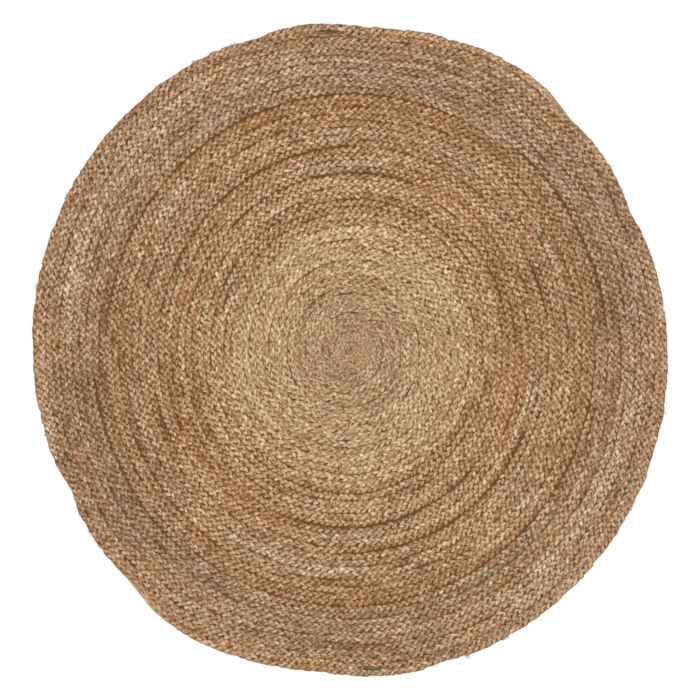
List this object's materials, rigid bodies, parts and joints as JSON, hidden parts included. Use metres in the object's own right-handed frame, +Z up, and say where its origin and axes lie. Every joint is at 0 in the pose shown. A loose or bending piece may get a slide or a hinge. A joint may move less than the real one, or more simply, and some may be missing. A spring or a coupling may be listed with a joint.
{
  "type": "round braided jute rug",
  "caption": "Flat round jute rug: three-strand plaits coiled side by side and sewn edge to edge, with a slightly oval, uneven rim.",
  "frame": {"origin": "middle of the rug's box, on the floor", "axes": "+Z up out of the rug's face, +Y along its slightly longer way, which is up in the picture"},
  "size_m": [1.1812, 1.2122, 0.0095],
  "materials": {
    "jute": "matt, coarse plaited yarn"
  },
  "bodies": {
    "root": {"rug": "jute"}
  },
  "joints": []
}
